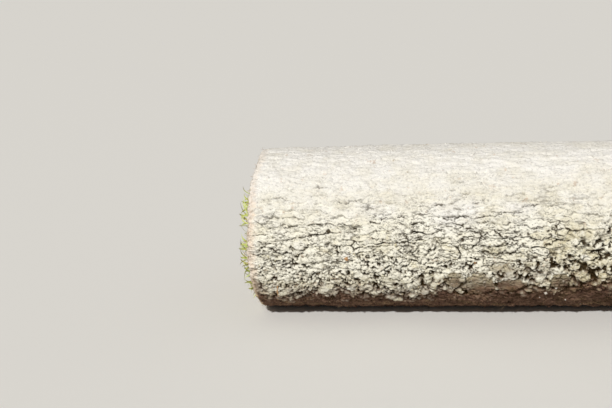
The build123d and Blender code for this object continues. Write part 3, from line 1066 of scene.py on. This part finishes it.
def grow_ends():
    """Grass, straw and fibres at both ends."""
    for side, end in ENDS:
        n = 950
        end_strands(
            f"gap_grass_{end}", BLADE_PAINT, "grass", side,
            spread(0, HIDDEN_FROM, n), MAT + spread(0.5, 3.2, n) * MM, spread(10, 26, n) * MM,
            spread(0.6, 1.2, n), spread(-0.2, 0.1, n), random.normal(0, 0.6, n),
            (9, 26), (1.3, 2.6), (0.2, 1.2), (0.2, 0.9), folded=True, fade=1.3,
        )
        n = 520
        end_strands(
            f"heart_grass_{end}", HEART_PAINT, "grass", side,
            spread(HIDDEN_FROM - 6 * MM, SOIL_LENGTH, n), MAT - 0.5 * MM,
            3 * MM + 60 * MM * spread(0, 1, n) ** 1.6,
            spread(0.3, 1.5, n), spread(0.3, 0.9, n), random.normal(0, 0.6, n),
            (20, 50), (1.6, 3.4), (0.1, 1.1), (0.05, 0.4), segments=6, folded=True, fade=1.2,
        )
        n = 84
        length = spread(length_at(TAIL + 165), length_at(TAIL + 300), n)
        end_strands(
            f"fringe_{end}", FRINGE_PAINT, "grass", side,
            length, SOIL + spread(2, 14, n) * MM, spread(1, 5, n) * MM,
            spread(0.9, 1.4, n), spread(-0.5, 0.1, n), random.normal(-0.2, 0.5, n),
            (22, 42), (2.0, 3.6), (-0.4, 0.5), (0.05, 0.5), segments=7, folded=True,
        )
        n = 420
        end_strands(
            f"straw_{end}", STRAW_PAINT, "grass", side,
            spread(0, SOIL_LENGTH, n), MAT + spread(-3, 2, n) * MM, spread(2, 14, n) * MM,
            spread(0.3, 1.0, n), spread(-0.3, 0.8, n), random.normal(0, 0.9, n),
            (14, 42), (0.7, 1.7), (0.3, 1.2), (0.2, 1.0),
        )
        n = 2700
        end_strands(
            f"thatch_fibres_{end}", FIBRE_PAINT, "thatch", side,
            spread(0, SOIL_LENGTH, n), spread(SOIL - 3 * MM, MAT + MM, n), spread(3.0, 5.5, n) * MM,
            spread(0.0, 0.55, n), random.normal(0.1, 0.6, n), random.normal(0, 1.0, n),
            (4, 16), (0.5, 1.3), (0, 0.8), (0.4, 1.8), segments=4,
        )
        n = 900
        end_strands(
            f"roots_{end}", ROOT_PAINT, "thatch", side,
            spread(0, SOIL_LENGTH, n), spread(2 * MM, SOIL, n), spread(2, 4, n) * MM,
            spread(0.1, 0.7, n), random.normal(0, 1.0, n), random.normal(0, 0.8, n),
            (3, 12), (0.25, 0.6), (0.2, 1.0), (0.5, 1.8), segments=4,
        )


def grow_tail():
    """Grass and fibres along the cut at the outer end of the strip."""
    n = 1100
    x = spread(-SIDE + 4 * MM, SIDE - 4 * MM, n)
    root = on_roll(x, 0.0, MAT + spread(0.3, 3.0, n) * MM) + heading(0.0, 0, 0, spread(0.5, 6, n) * MM)
    way = heading(0.0, out=spread(-0.05, 0.45, n), along=random.normal(0, 0.8, n), onward=-1)
    strands("tail_grass", BLADE_PAINT, "grass", root, way, (9, 26), (1.2, 2.4), (0.1, 0.7), (0.1, 0.6),
            folded=True, fade=1.3)

    n = 2600
    x = spread(-SIDE + 3 * MM, SIDE - 3 * MM, n)
    root = on_roll(x, 0.0, spread(SOIL, MAT, n)) + heading(0.0, 0, 0, spread(0.5, 2.5, n) * MM)
    onward = -spread(0.1, 0.7, n)
    way = heading(0.0, out=random.normal(0, 0.5, n), along=random.normal(0, 1.0, n), onward=onward)
    strands("tail_fibres", FIBRE_PAINT, "thatch", root, way, (4, 15), (0.35, 0.9), (0, 0.6), (0.4, 1.6),
            segments=4)


def grow_crust_fibres():
    """Fine dead roots that show in the crust here and there."""
    n = 360
    x = spread(-SIDE + 8 * MM, SIDE - 8 * MM, n)
    low_front = spread(length_at(TAIL + 225), length_at(TAIL + 285), n)
    length = np.where(spread(0, 1, n) < 0.7, low_front, spread(0, ONE_TURN, n))
    root, _ = on_crust(x, length, 0.3 * MM)
    along = random.normal(0, 1.0, n)
    way = heading(length, along, onward=random.normal(0, 0.6, n), out=spread(0.02, 0.16, n))
    strands("crust_roots", ROOT_PAINT, "thatch", root, way, (3, 13), (0.3, 0.75), None, (0.2, 1.2),
            segments=4)


# Crumbs and stones

def ball(detail):
    """Points and three-cornered faces of a round lump, cut from an icosahedron."""
    golden = (1 + math.sqrt(5)) / 2
    signs = [(a, b) for b in (1, -1) for a in (-1, 1)]
    points = unit(np.array([np.roll((a, b * golden, 0), k) for k in range(3) for a, b in signs]))
    faces = [
        corners for corners in itertools.combinations(range(12), 3)
        if all(np.linalg.norm(points[a] - points[b]) < 1.1 for a, b in itertools.combinations(corners, 2))
    ]
    for _ in range(detail):
        middles = {}
        finer = []
        for a, b, c in faces:
            edges = (frozenset(edge) for edge in ((a, b), (b, c), (c, a)))
            ab, bc, ca = [middles.setdefault(edge, len(points) + len(middles)) for edge in edges]
            finer += [(a, ab, ca), (b, bc, ab), (c, ca, bc), (ab, bc, ca)]
        points = np.concatenate([points, unit(np.array([sum(points[k] for k in edge) for edge in middles]))])
        faces = finer
    faces = np.array(faces)
    inward = np.linalg.det(points[faces]) < 0
    faces[inward] = faces[inward][:, ::-1]
    return points, faces


def lumps(name, paint, centre, size, shade, detail, surface_numbers=None):
    """Many rough lumps as one mesh, each with its own proportions and turn."""
    base, base_faces = ball(detail)
    count = len(centre)
    uneven = 1 + 0.22 * random.normal(size=(count, len(base)))
    turned = np.linalg.qr(random.normal(size=(count, 3, 3)))[0]
    squash = random.uniform(0.55, 1.0, size=(count, 1, 3))
    points = base[None] * np.clip(uneven, 0.55, 1.4)[..., None] * squash
    points = np.einsum("nij,nkj->nki", turned, points) * size[:, None, None] / 2 + centre[:, None]
    numbers = {"shade": shade, "tint_and_shading": shade} | (surface_numbers or {})
    values = {key: np.repeat(value, len(base)) for key, value in numbers.items()}
    make_mesh(name, points, copies(base_faces, count, len(base)), paint, values)


def sizes(least, more, rarity, count):
    """Sizes of loose bits, up to so much more than the least, of which the larger ones are rarer."""
    return (least + more * spread(0, 1, count) ** rarity) * MM


def scatter_crumbs():
    """Loose crumbs on the crust, thickest low on the front, and on the cut ends, with small pale stones."""
    n = 1700
    x = spread(-SIDE + 7 * MM, SIDE - 7 * MM, n)
    low_front = random.normal(0.5 * (length_at(TAIL + 245) + length_at(TAIL + 262)), 34 * MM, n)
    length = np.where(spread(0, 1, n) < 0.6, low_front, spread(0, ONE_TURN, n))
    length = np.clip(length, 4 * MM, ONE_TURN - 4 * MM)
    size = sizes(1.2, 3.6, 2.5, n)
    centre, surface_numbers = on_crust(x, length, -0.12 * size)
    # The crumbs take the crust's browning and paleness, painted shade and highlight among them
    surface_numbers = {"damp_and_shade": surface_numbers["damp_and_shade"], "pale": surface_numbers["pale"]}
    lumps("crumbs", CRUMB_PAINT, centre, size, spread(0, 1, n), 0, surface_numbers)

    for side, end in ENDS:
        n = 700
        length = spread(0, SOIL_LENGTH, n)
        size = sizes(1.0, 3.0, 2, n)
        centre = placed(side, length, spread(2 * MM, SOIL, n), 2.4 * MM + spread(0, 1, n) * MM)
        surface_numbers = {"damp_and_shade": spread(0, 0.5, n)}
        lumps(f"end_crumbs_{end}", CRUMB_PAINT, centre, size, spread(0, 1, n), 0, surface_numbers)
        n = 110
        length = spread(0, SOIL_LENGTH, n)
        size = sizes(1.6, 3.8, 2, n)
        centre = placed(side, length, spread(3 * MM, SOIL, n), 2.6 * MM)
        lumps(f"end_stones_{end}", STONE_PAINT, centre, size, spread(0, 1, n), 1)

    n = 46
    x = spread(-SIDE + 9 * MM, SIDE - 9 * MM, n)
    length = spread(0.02, ONE_TURN - 0.02, n)
    size = sizes(1.4, 2.4, 2, n)
    centre, _ = on_crust(x, length)
    lumps("crust_stones", STONE_PAINT, centre, size, spread(0, 1, n), 1)


def place_photo_bits():
    """The single bits that catch the eye in the photograph: pale and ochre grains, and an upright straw."""
    for name, paint, bits in (("pale_bits", STONE_PAINT, PALE_BITS), ("ochre_bits", FIBRE_PAINT, OCHRE_BITS)):
        at = np.array([under_pixel(px, py) for px, py, _ in bits])
        size = np.array([across for _, _, across in bits]) * MM
        centre, _ = on_crust(*at.T)
        lumps(name, paint, centre, size, np.full(len(bits), 0.4), 2)
    knots = np.array([under_pixel(px, py) for px, py in UPRIGHT_STRAW])
    middle, _ = on_crust(*knots.T, -1.0 * MM)
    half = np.array([0.9 * MM, 0, 0])
    points = np.stack([middle - half, middle + half + [0, 0, 0.3 * MM]], axis=1)
    make_sheet("upright_straw", points, FIBRE_PAINT, {"shade": np.full(points.shape[:2], 0.25)})


# The studio

BACKDROP = (232, 231, 228)
HORIZON = (214, 211, 205)  # the floor's colour as it looks from far off in this light


def make_studio():
    """A floor, the same colour beyond it, soft light from all round and a sun."""
    half = FLOOR_SIZE / 2
    mesh = bpy.data.meshes.new("floor")
    corners = [(-half, -half, 0), (half, -half, 0), (half, half, 0), (-half, half, 0)]
    mesh.from_pydata(corners, [], [(0, 1, 2, 3)])
    floor = add_object("floor", mesh)
    mesh.materials.append(Paint("floor", 0.9, 0.1).colour(srgb(*BACKDROP)))

    world = bpy.data.worlds.new("studio")
    world.use_nodes = True
    tree = world.node_tree
    tree.nodes.clear()
    seen = add_node(tree, "Background", {"Color": srgb(*HORIZON), "Strength": 1.0}, "Background")
    fill = add_node(tree, "Background", {"Color": FILL_COLOUR, "Strength": FILL}, "Background")
    for_camera = add_node(tree, "LightPath", {}, "Is Camera Ray")
    surface = add_node(tree, "MixShader", {"Fac": for_camera, 1: fill, 2: seen}, "Shader")
    feed(tree.nodes.new("ShaderNodeOutputWorld"), {"Surface": surface})
    bpy.context.scene.world = world

    key = bpy.data.lights.new("key", "SUN")
    key.energy = KEY
    key.angle = math.radians(KEY_SOFTNESS)
    key.color = KEY_COLOUR
    lamp = add_object("key", key)
    lamp.rotation_mode = "QUATERNION"
    lamp.rotation_quaternion = towards(KEY_AZIMUTH, KEY_ELEVATION).to_track_quat("Z", "Y")


make_camera()
make_crust()
make_ends()
make_heart()
make_strip_end("outer_cut", 0.0, 1)
make_strip_end("inner_cut", SOIL_LENGTH, -1)
grow_ends()
grow_tail()
grow_crust_fibres()
scatter_crumbs()
place_photo_bits()
make_studio()
bpy.context.scene.view_settings.view_transform = "Standard"

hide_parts("turf_roll")
